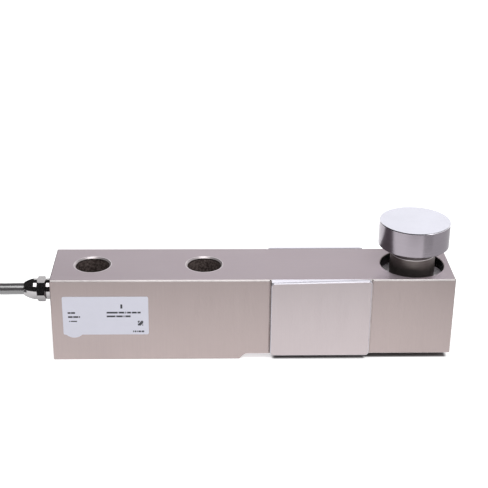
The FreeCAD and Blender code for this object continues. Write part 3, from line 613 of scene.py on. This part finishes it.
# %% Label film
COLD_WHITE = (0.78, 0.775, 0.87, 1)
label_film, tree, shader, where = start_material("label_film")
surface = use_group(tree, skin, where, {"Texture scale": 350.0, "Cloud scale": 45.0})
feed(shader, {"Base Color": shade(tree, COLD_WHITE, surface["Tone"], dark=0.975, light=1.02),
              "Roughness": between(tree, surface["Tone"], low=0.32, high=0.42),
              "Normal": bumps(tree, surface["Height"], depth=0.03 * MM, strength=0.3)})

# %% [markdown]
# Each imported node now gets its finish. Its mesh stays as it is: only the material slots change.

# %% Finish of every node
finish_nodes = [
    (beam_steel, ["beam_body"]),
    (cover_steel, ["front_cover_plate", "rear_cover_plate"]),
    (button_steel, ["load_button"]),
    (nickel, ["gland_body", "gland_cap_nut", "gland_thrust_washer"]),
    (seal_rubber, ["gland_face_ring", "gland_seal"]),
    (gauge_amber, ["front_shear_gauge", "rear_shear_gauge"]),
    (board_green, ["front_terminal_strip", "rear_terminal_strip", "compensation_board"]),
    (resistor_black, ["trim_resistors"]),
    (bare_copper, ["front_gauge_leads", "rear_gauge_leads"]),
    (hookup_white, ["bridge_wires", "board_wires"]),
    (tinned_copper, ["lead_shield"]),
    (tie_nylon, ["hank_ties"]),
    (shrink_sleeve, ["end_sleeve"]),
    (label_film, ["rating_label"]),
    (cable_jacket, ["cable_run", "cable_tail", "cable_hank"]),
]
finish_nodes += [(finish, [name]) for name, finish in lead_materials.items()]
bare_nodes = set(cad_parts)
for finish, names in finish_nodes:
    for name in names:
        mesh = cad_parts[name].data
        mesh.materials.clear()
        mesh.materials.append(finish)
        bare_nodes.remove(name)
print("nodes without a finish:", sorted(bare_nodes))

# %% [markdown]
# The cable. A load cell of this kind carries about three metres of it, and the picture shows only
# the first centimetre or so. The rest is put away as a flat hank in line with the beam: two runs and
# two folds, wound layer under layer in two tracks, whose folds have an inner and an outer radius. A
# smooth NURBS curve suits it, with given points where the cable runs free.

# %% Cable sizes and free routes
CABLE_DIAMETER = 6.1 * MM
CORD_PITCH = 6.15 * MM
HANK_LAYERS = 5
INNER = 18.4 * MM
OUTER = INNER + CORD_PITCH
HANK_RUN = 97.5 * MM
HANK_NEAR_END = -103.5 * MM
HANK_CENTRE_Y = -6.0 * MM
TIE_THICKNESS = 0.8 * MM
SLEEVE_RADIUS = CABLE_DIAMETER / 2 + 0.45 * MM
END_FACE_X = -48.5 * MM

first_layer_z = TIE_THICKNESS + CABLE_DIAMETER / 2
top_layer_z = first_layer_z + (HANK_LAYERS - 1) * CORD_PITCH
outer_track_y = HANK_CENTRE_Y + OUTER
near_fold_x = HANK_NEAR_END - OUTER - CABLE_DIAMETER / 2
far_fold_x = near_fold_x - HANK_RUN

lead_in_route = [
    (END_FACE_X - 1.0 * MM, CABLE_Y, CABLE_Z),
    (-70.0 * MM, CABLE_Y, CABLE_Z),
    (-84.0 * MM, CABLE_Y, CABLE_Z - 0.25 * MM),
    (-112.0 * MM, 14.9 * MM, top_layer_z + 0.3 * MM),
    (-142.0 * MM, outer_track_y, top_layer_z),
    (-164.0 * MM, outer_track_y, top_layer_z),
]
tail_route = [
    (far_fold_x, HANK_CENTRE_Y - INNER, first_layer_z),
    (-213.0 * MM, -23.2 * MM, first_layer_z),
    (-199.0 * MM, -18.2 * MM, first_layer_z - 0.1 * MM),
    (-186.0 * MM, -13.0 * MM, SLEEVE_RADIUS + 0.1 * MM),
    (-174.0 * MM, -11.2 * MM, SLEEVE_RADIUS + 0.1 * MM),
]
print("hank from x", round(far_fold_x, 4), "to", round(near_fold_x, 4))

# %% [markdown]
# The turns. Each turn keeps to one place in the hank's section, and changes to the next place over
# a stretch of it. Those changes start earlier on every turn, so a turn has always left its place
# before the next one comes in, and no two turns cross. A fold's control points are the corners of a
# polygon round the arc, because the curve touches such a polygon at the middle of each side.

# %% Places of the turns
CHANGE_LENGTH = 60.0 * MM
CHANGE_STAGGER = 36.0 * MM
FIRST_MOVE_IN, FIRST_MOVE_DOWN = 0.58, 0.5
turn_places = [(OUTER, 4), (INNER, 3), (OUTER, 3), (OUTER, 2), (INNER, 2),
               (INNER, 1), (OUTER, 1), (OUTER, 0), (INNER, 0)]
fold_length = math.pi * (INNER + OUTER) / 2
turn_length = 2 * HANK_RUN + 2 * fold_length


def eased(share):
    """0 to 1 with a soft start and a soft end."""
    share = min(1.0, max(0.0, share))
    return share * share * (3 - 2 * share)


def place_in_section(turn, travel):
    """Track radius and height of a turn at this travel along it."""
    radius, layer = turn_places[turn]
    if turn + 1 == len(turn_places):
        return radius, first_layer_z + layer * CORD_PITCH
    next_radius, next_layer = turn_places[turn + 1]
    start = turn_length - fold_length - turn * CHANGE_STAGGER
    inward = eased((travel - start) / CHANGE_LENGTH)
    downward = inward
    if turn == 0:
        inward = eased((travel - start) / (FIRST_MOVE_IN * fold_length))
        downward = eased((travel - start - FIRST_MOVE_DOWN * fold_length) / (FIRST_MOVE_DOWN * fold_length))
    radius += (next_radius - radius) * inward
    return radius, first_layer_z + (layer + (next_layer - layer) * downward) * CORD_PITCH


# %% Points of the turns
FOLD_POINTS = 12
RUN_POINTS = 6
JOIN_GAP = 2 * MM


def turn_point(turn, travel):
    """The control point of a turn at this travel, from the start of its rear run."""
    radius, height = place_in_section(turn, travel)
    # The way back is the way out, turned about the middle of the hank
    way_back, along = divmod(travel, HANK_RUN + fold_length)
    start_x, fold_x, side = (far_fold_x, near_fold_x, -1) if way_back else (near_fold_x, far_fold_x, 1)
    if along < HANK_RUN:
        return (start_x - side * along, HANK_CENTRE_Y + side * radius, height)
    angle = (along - HANK_RUN) / fold_length * math.pi
    corner = side * radius / math.cos(math.pi / FOLD_POINTS / 2)
    return (fold_x - corner * math.sin(angle), HANK_CENTRE_Y + corner * math.cos(angle), height)


run_steps = [(i + 0.5) * HANK_RUN / RUN_POINTS for i in range(RUN_POINTS)]
fold_steps = [(i + 0.5) * fold_length / FOLD_POINTS for i in range(FOLD_POINTS)]
travels = run_steps + [HANK_RUN + s for s in fold_steps]
travels += [HANK_RUN + fold_length + s for s in travels]
hank_points = [turn_point(turn, travel) for turn in range(len(turn_places)) for travel in travels]
first_free = near_fold_x - lead_in_route[-1][0]
skipped = sum(1 for travel in travels if travel < first_free + JOIN_GAP)
# The lead-in takes up the first points, and the last turn ends at its far fold
hank_points = hank_points[skipped:-(RUN_POINTS + FOLD_POINTS)]
print("hank points:", len(hank_points))

# %% [markdown]
# The curve itself. Its order and end points are set after the points are in, and a round bevel gives
# it the cable's thickness.

# %% Cable curve
data = bpy.data.curves.new("signal_cable", "CURVE")
data.dimensions = "3D"
spline = data.splines.new("NURBS")
cable_route = lead_in_route + hank_points + tail_route
spline.points.add(len(cable_route) - 1)
for point, spot in zip(spline.points, cable_route):
    point.co = (*spot, 1.0)
spline.order_u = 3
spline.use_endpoint_u = True
data.resolution_u = 4
data.bevel_depth = CABLE_DIAMETER / 2
data.bevel_resolution = 8
data.use_fill_caps = True
data.materials.append(cable_jacket)
cable = bpy.data.objects.new("signal_cable", data)
scene.collection.objects.link(cable)
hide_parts("cable_run", "cable_hank", "cable_tail")
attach(cable, "root")
print("cable points:", len(cable_route))

# %% [markdown]
# Several pieces are strips: rows of points with faces between them. These helpers fill the rows and
# make an object of them.

# %% Helpers for meshes
def fill_rows(bm, rows):
    """Fill the faces between rows of points."""
    for low, high in zip(rows, rows[1:]):
        for a, b, c, d in zip(low, low[1:], high[1:], high):
            bm.faces.new((a, b, c, d))


def mesh_object(name, bm, material, smooth=False):
    """An object from a bmesh, in one material."""
    mesh = bpy.data.meshes.new(name)
    bm.to_mesh(mesh)
    bm.free()
    for polygon in mesh.polygons:
        polygon.use_smooth = smooth
    mesh.materials.append(material)
    thing = bpy.data.objects.new(name, mesh)
    scene.collection.objects.link(thing)
    return thing


def mesh_piece(name, bm, material, smooth=True):
    """A piece of the load cell, which rides on it."""
    bmesh.ops.recalc_face_normals(bm, faces=bm.faces)
    thing = mesh_object(name, bm, material, smooth)
    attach(thing, "root")
    print(name, "faces:", len(thing.data.polygons))


# %% [markdown]
# Weld beads. Each cover plate is welded down in a narrow groove at both of its ends. A laser or TIG
# bead is a row of overlapping ripples, so it is built as a half-round strip whose height swells
# and falls once per ripple. Heat leaves it a little browner than the steel beside it.

# %% Weld metal
WELD_BROWN, WELD_GREY = (0.40, 0.335, 0.325, 1), (0.56, 0.51, 0.50, 1)
weld_metal, tree, shader, where = start_material("weld_metal")
cloud = use_group(tree, handled, where, {"Cloud scale": 300.0})["Cloud"]
feed(shader, {"Base Color": mix(tree, cloud, WELD_BROWN, WELD_GREY),
              "Roughness": between(tree, cloud, low=0.28, high=0.45), "Metallic": 1.0})

# %% Weld beads
WELD_RIPPLE = 0.55 * MM
WELD_WIDTH = 0.8 * MM
WELD_LIFT = 0.02 * MM
GROOVE_DEPTH = 0.6 * MM
BEAM_HALF_WIDTH = 19.0 * MM
PLATE_HALF_LENGTH = 25.25 * MM
PLATE_CENTRE_X = 87.3 * MM
WELD_LOW, WELD_HIGH = 3.4 * MM, 44.7 * MM
RIPPLE_STEPS = 6
ARC_STEPS = 6
LOW_BEAD = (0.3 * MM, 0.28, 1.0)
FLUSH_BEAD = (0.68 * MM, 0.06, 0.25)


def weld_bead(bm, centre_x, side, crown, ripple, fullness):
    """One upright bead on a side (-1 front, 1 rear). A low fullness is flat-topped."""
    rows = []
    steps = int((WELD_HIGH - WELD_LOW) / WELD_RIPPLE * RIPPLE_STEPS)
    for i in range(steps + 1):
        z = WELD_LOW + (WELD_HIGH - WELD_LOW) * i / steps
        phase = (i % RIPPLE_STEPS) / RIPPLE_STEPS
        swell = 1 - ripple * (1 - math.sin(math.pi * phase))
        row = []
        for j in range(ARC_STEPS + 1):
            angle = math.pi * j / ARC_STEPS
            x = centre_x - WELD_WIDTH / 2 * math.cos(angle)
            lift = crown * swell * math.sin(angle) ** fullness + WELD_LIFT
            dip = 0.25 * WELD_RIPPLE * math.sin(angle)
            row.append(bm.verts.new((x, side * (BEAM_HALF_WIDTH - GROOVE_DEPTH + lift), z - dip)))
        rows.append(row)
    fill_rows(bm, rows)


bm = bmesh.new()
for side in (-1, 1):
    for end, bead in ((-1, LOW_BEAD), (1, FLUSH_BEAD)):
        weld_bead(bm, PLATE_CENTRE_X + end * (PLATE_HALF_LENGTH + WELD_WIDTH / 2), side, *bead)
mesh_piece("weld_beads", bm, weld_metal)

# %% [markdown]
# The top of the front plate. Its top edge falls a little towards the cable, and the step behind it is
# filled with weld and dressed smooth, so it shows as one bright wedge. A strip between two lines is
# enough: the rear line follows the beam's broken edge, and the front line lies on top of the plate.

# %% Dressed weld
DRESSED_WELD = (0.44, 0.43, 0.475, 1)
fillet_metal, tree, shader, where = start_material("dressed_weld")
grain = use_group(tree, brushed, where, {"Squeeze": STROKE_ALONG, "Fineness": TOP_STROKES})
feed(shader, {"Base Color": shade(tree, DRESSED_WELD, grain["Grain"], dark=0.94, light=1.05),
              "Roughness": between(tree, grain["Grain"], low=0.3, high=0.4), "Metallic": 1.0,
              "Normal": bumps(tree, grain["Height"], **STROKE_BUMPS)})

# %% Top fillet
BEAM_HEIGHT = 45.0 * MM
PLATE_TOP_FALL = 1.1 * MM
FILLET_STEPS = 60
FILLET_ROWS = 4
FILLET_SLOPE = 0.75
FILLET_REAR_Y = -18.35 * MM
FILLET_THIN = 0.05 * MM
FILLET_PROUD = 0.01 * MM
FILLET_SHORT = 0.3 * MM

bm = bmesh.new()
rows = []
for i in range(FILLET_STEPS + 1):
    share = i / FILLET_STEPS
    x = PLATE_CENTRE_X + (2 * share - 1) * (PLATE_HALF_LENGTH - FILLET_SHORT)
    drop = PLATE_TOP_FALL * (1 - share) + FILLET_THIN
    row = []
    for j in range(FILLET_ROWS + 1):
        fall = drop * j / FILLET_ROWS
        row.append(bm.verts.new((x, FILLET_REAR_Y - fall / FILLET_SLOPE, BEAM_HEIGHT + FILLET_PROUD - fall)))
    rows.append(row)
fill_rows(bm, rows)
mesh_piece("cover_top_fillet", bm, fillet_metal)

# %% [markdown]
# The label carries short rows of plain bars and a small square of tiles, as a label does seen from a
# step away. They could be painted by a mask in its material. Thin raised tiles were chosen, because
# they stay sharp at any distance.

# %% Label print
PRINT_PROUD = 0.015 * MM
LABEL_FACE_Y = -19.12 * MM
print_ink = plastic("print_ink", (0.035, 0.035, 0.045), 0.5, spread=0.15)


def tile(bm, x, z, width, height):
    """One flat printed tile, with its lower left corner at x, z in millimetres."""
    corners = [(x, z), (x + width, z), (x + width, z + height), (x, z + height)]
    back, face = [[bm.verts.new((a * MM, y, b * MM)) for a, b in corners]
                  for y in (LABEL_FACE_Y, LABEL_FACE_Y - PRINT_PROUD)]
    bm.faces.new(face)
    for i in range(4):
        bm.faces.new((back[i], back[(i + 1) % 4], face[(i + 1) % 4], face[i]))


# Each row of bars, in millimetres: left end, lower edge, height, gap and widths
BAR_ROWS = [
    (-40.1, 26.6, 0.95, 0.2, [1.5, 2.0]),
    (-40.0, 24.3, 0.95, 0.3, [2.3, 2.6, 0.5]),
    (-39.6, 22.0, 0.6, 0.3, [0.5, 3.2]),
    (-20.6, 26.7, 0.95, 0.42, [5.6, 2.9, 0.5, 2.0, 2.4, 1.6]),
    (-20.6, 24.6, 0.95, 0.42, [4.4, 3.2, 0.5, 2.6]),
    (-7.6, 16.0, 0.9, 0.35, [0.5, 0.8, 0.4, 1.2, 1.3]),
]
bm = bmesh.new()
for x, z, height, gap, widths in BAR_ROWS:
    for width in widths:
        tile(bm, x, z, width, height)
        x += width + gap
mesh_piece("label_print", bm, print_ink, smooth=False)

# %% Label square and mark
SQUARE_CELLS = 5
SQUARE_SIDE = 2.7
SQUARE_LEFT, SQUARE_LOW = -5.05, 19.8
TILE_SHARE = 0.96
UPRIGHT_BAR = (-13.6, 29.5, 1.0, 2.3)
cell = SQUARE_SIDE / SQUARE_CELLS
side = cell * TILE_SHARE
bm = bmesh.new()
for row in range(SQUARE_CELLS):
    for column in range(SQUARE_CELLS):
        if (row * 3 + column * 2) % SQUARE_CELLS != 1:
            tile(bm, SQUARE_LEFT + column * cell, SQUARE_LOW + row * cell, side, side)
tile(bm, *UPRIGHT_BAR)
mesh_piece("label_square", bm, print_ink, smooth=False)

# %% [markdown]
# The studio. The floor and the world give a plain, soft light. Light Path lets the camera and shiny
# surfaces see them as white all the same. That glow would hide the shadow, so it fades out on the
# floor under the foot, the plates and the tip, and there the paper's colour is darker, a painted
# shadow. Under the raised stretch between the foot and the plates it is only weaker, so that a faint
# shade is left.

# %% Floor: where it glows
FLOOR_HALF = 4.0
GLOW_INSET = 2.7 * MM
GLOW_FADE = 2.5 * MM
LIFTED_SHADE = 0.76
FOOT_END_X = 46.5 * MM
PLATE_SHADE_INSET = 0.8 * MM
PAPER_SHADED, PAPER_OPEN = (0.2, 0.192, 0.185, 1), (0.76, 0.76, 0.76, 1)

floor_paper = bpy.data.materials.new("floor_paper")
floor_paper.use_nodes = True
tree = floor_paper.node_tree
tree.nodes.clear()
where = place(tree, "ShaderNodeTexCoord", {}).outputs["Object"]


def away_from(tree, where, low_x, low_y, high_x, high_y):
    """How far a point of the floor lies outside a rectangle, which is first drawn in a little."""
    low, high = Vector((low_x, low_y, 0)), Vector((high_x, high_y, 0))
    half = (high - low) / 2 - Vector((GLOW_INSET, GLOW_INSET, 0))
    from_middle = vector_step(tree, "SUBTRACT", where, ((low + high) / 2).to_tuple())
    outside = vector_step(tree, "SUBTRACT", vector_step(tree, "ABSOLUTE", from_middle), half.to_tuple())
    return vector_step(tree, "LENGTH", vector_step(tree, "MAXIMUM", outside, (0, 0, 0)), output="Value")


beam_low, beam_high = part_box("beam_body")
front_low, front_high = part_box("front_cover_plate")
rear_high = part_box("rear_cover_plate")[1]
under_foot, under_plates, under_tip, under_beam = [away_from(tree, where, *rectangle) for rectangle in (
    (beam_low.x, beam_low.y, FOOT_END_X, beam_high.y),
    (front_low.x, front_low.y + PLATE_SHADE_INSET, front_high.x, rear_high.y),
    (front_high.x - 3 * GLOW_INSET, beam_low.y, beam_high.x, beam_high.y),
    (beam_low.x, beam_low.y, beam_high.x, beam_high.y))]
nearest = work_out(tree, "MINIMUM", work_out(tree, "MINIMUM", under_foot, under_plates), under_tip)
in_the_open = remap(tree, nearest, 0, GLOW_FADE, smooth=True)
lifted = remap(tree, under_beam, 0, GLOW_FADE, LIFTED_SHADE, 1, smooth=True)
in_the_open = scaled(tree, in_the_open, lifted)

# %% Floor
FLOOR_GLOW = 0.72
WHITE = (1, 1, 1, 1)


def seen_directly(tree):
    """1 for rays from the camera, from shiny surfaces and through glass, and 0 for other light."""
    ray = place(tree, "ShaderNodeLightPath", {}).outputs
    shiny = work_out(tree, "MAXIMUM", ray["Is Glossy Ray"], ray["Is Transmission Ray"])
    return work_out(tree, "MAXIMUM", ray["Is Camera Ray"], shiny)


# Painted shadow: the paper's colour is darker under the load cell.
paper_colour = mix(tree, in_the_open, PAPER_SHADED, PAPER_OPEN)
paper = place(tree, "ShaderNodeBsdfDiffuse", {"Color": paper_colour}).outputs[0]
glow_strength = scaled(tree, seen_directly(tree), scaled(tree, in_the_open, FLOOR_GLOW))
glow = place(tree, "ShaderNodeEmission", {"Color": WHITE, "Strength": glow_strength}).outputs[0]
paper_and_glow = place(tree, "ShaderNodeAddShader", {0: paper, 1: glow}).outputs[0]
place(tree, "ShaderNodeOutputMaterial", {"Surface": paper_and_glow})

bm = bmesh.new()
corners = ((-1, -1), (1, -1), (1, 1), (-1, 1))
bm.faces.new([bm.verts.new((x * FLOOR_HALF, y * FLOOR_HALF, 0)) for x, y in corners])
floor = mesh_object("floor", bm, floor_paper)
print("floor made")

# %% World
WORLD_LIGHT = 0.5
DAYLIGHT = (0.97, 0.98, 1.0, 1)
world = bpy.data.worlds.new("studio")
scene.world = world
world.use_nodes = True
tree = world.node_tree
tree.nodes.clear()
soft = place(tree, "ShaderNodeBackground", {"Color": DAYLIGHT, "Strength": WORLD_LIGHT}).outputs[0]
white = place(tree, "ShaderNodeBackground", {"Color": WHITE, "Strength": 1.0}).outputs[0]
mixed = place(tree, "ShaderNodeMixShader", {0: seen_directly(tree), 1: soft, 2: white}).outputs[0]
place(tree, "ShaderNodeOutputWorld", {"Surface": mixed})
print("world made")

# %% [markdown]
# Bright metal shows the room it stands in, and looks like paper in a white one, so studios hang
# cards round it. A black one lies in front and rises over the camera, and two more stand on the left
# and behind the cable: they give the gland and the button their dark bands. A grey and a pale card
# on the floor at the right tone the button's right half. Only shiny surfaces see the cards, so they
# take no light away and throw no shadow.

# %% Card felts
def card_felt(name, colour):
    """A dull felt that shines nowhere."""
    felt = bpy.data.materials.new(name)
    felt.use_nodes = True
    feed(felt.node_tree.nodes[SHADER], {"Base Color": colour, "Roughness": 1.0, "Specular IOR Level": 0.0})
    return felt


black_felt = card_felt("card_felt", (0.012, 0.011, 0.011, 1))
grey_felt = card_felt("grey_felt", (0.62, 0.62, 0.62, 1))
pale_felt = card_felt("pale_felt", (0.85, 0.85, 0.85, 1))


def hang_card(name, edges, felt=black_felt):
    """A card between two lines of points, seen by shiny surfaces only."""
    bm = bmesh.new()
    fill_rows(bm, [(bm.verts.new(a), bm.verts.new(b)) for a, b in zip(*edges)])
    card = mesh_object(name, bm, felt)
    card.visible_camera = False
    card.visible_diffuse = False
    card.visible_shadow = False


# %% Cards
FRONT_CARD_HALF_WIDTH = 2.5
FRONT_CARD_PROFILE = [(-0.19, 0.002), (-0.9, 0.002), (-1.6, 0.3), (-1.75, 0.9), (-1.55, 1.45), (-1.1, 1.8),
                      (-0.3, 2.0), (0.6, 1.95), (1.2, 1.6), (1.5, 1.25)]
CARD_FOOT, RIGHT_CARD_LIES, FAR_CARD_LIES = 0.004, 0.003, 0.0035
LEFT_CARD_X, LEFT_CARD_RADIUS, LEFT_CARD_HEIGHT = -0.06, 0.62, 0.75
REAR_CARD_LINE, REAR_CARD_HEIGHT = [(-0.072, 0.06), (-0.32, 0.06)], 0.11
RIGHT_CARD_NEAR, FAR_CARD_NEAR, CARDS_FAR = 0.125, 0.06, 0.36
LEFT_CARD_TURN, RIGHT_CARD_TURN, FAR_CARD_TURN = range(108, 266, 10), range(-70, -36, 6), range(-40, 54, 6)


def arc(centre_x, radius, height, angles):
    """Points on a level arc, by their angles in degrees."""
    turns = [math.radians(angle) for angle in angles]
    return [(centre_x + radius * math.cos(turn), radius * math.sin(turn), height) for turn in turns]


hang_card("front_card", [[(x, y, z) for y, z in FRONT_CARD_PROFILE]
                         for x in (-FRONT_CARD_HALF_WIDTH, FRONT_CARD_HALF_WIDTH)])
hang_card("left_card", [arc(LEFT_CARD_X, LEFT_CARD_RADIUS, height, LEFT_CARD_TURN)
                        for height in (CARD_FOOT, LEFT_CARD_HEIGHT)])
hang_card("rear_card", [[(x, y, height) for x, y in REAR_CARD_LINE]
                        for height in (CARD_FOOT, REAR_CARD_HEIGHT)])
hang_card("right_card", [arc(LOAD_X, radius, RIGHT_CARD_LIES, RIGHT_CARD_TURN)
                         for radius in (RIGHT_CARD_NEAR, CARDS_FAR)], grey_felt)
hang_card("far_card", [arc(LOAD_X, radius, FAR_CARD_LIES, FAR_CARD_TURN)
                       for radius in (FAR_CARD_NEAR, CARDS_FAR)], pale_felt)
print("cards made: 5")

# %% [markdown]
# Lamps. One large soft box nearly overhead gives the bright line on the front edge and the square
# highlights on the gland. A weaker one at the right lights the far side of the button.

# %% Lamps
def soft_box(name, spot, aim, width, height, power):
    """A rectangular area lamp that looks at a point. Places and sizes in metres, power in watts."""
    data = bpy.data.lights.new(name, "AREA")
    data.shape = "RECTANGLE"
    data.size, data.size_y = width, height
    data.energy = power
    lamp = bpy.data.objects.new(name, data)
    scene.collection.objects.link(lamp)
    lamp.location = spot
    lamp.rotation_euler = (Vector(aim) - Vector(spot)).to_track_quat("-Z", "Y").to_euler()


soft_box("key_box", (0.1, -0.42, 1.2), (0.08, 0, 0.03), width=0.85, height=1.0, power=8.0)
soft_box("right_box", (0.9, -0.75, 0.55), (0.1, 0, 0.05), width=0.35, height=0.6, power=2.0)
print("lamps made: 2")

# %% [markdown]
# Standard colour keeps whites white and greys neutral.

# %% Finish
scene.view_settings.view_transform = "Standard"
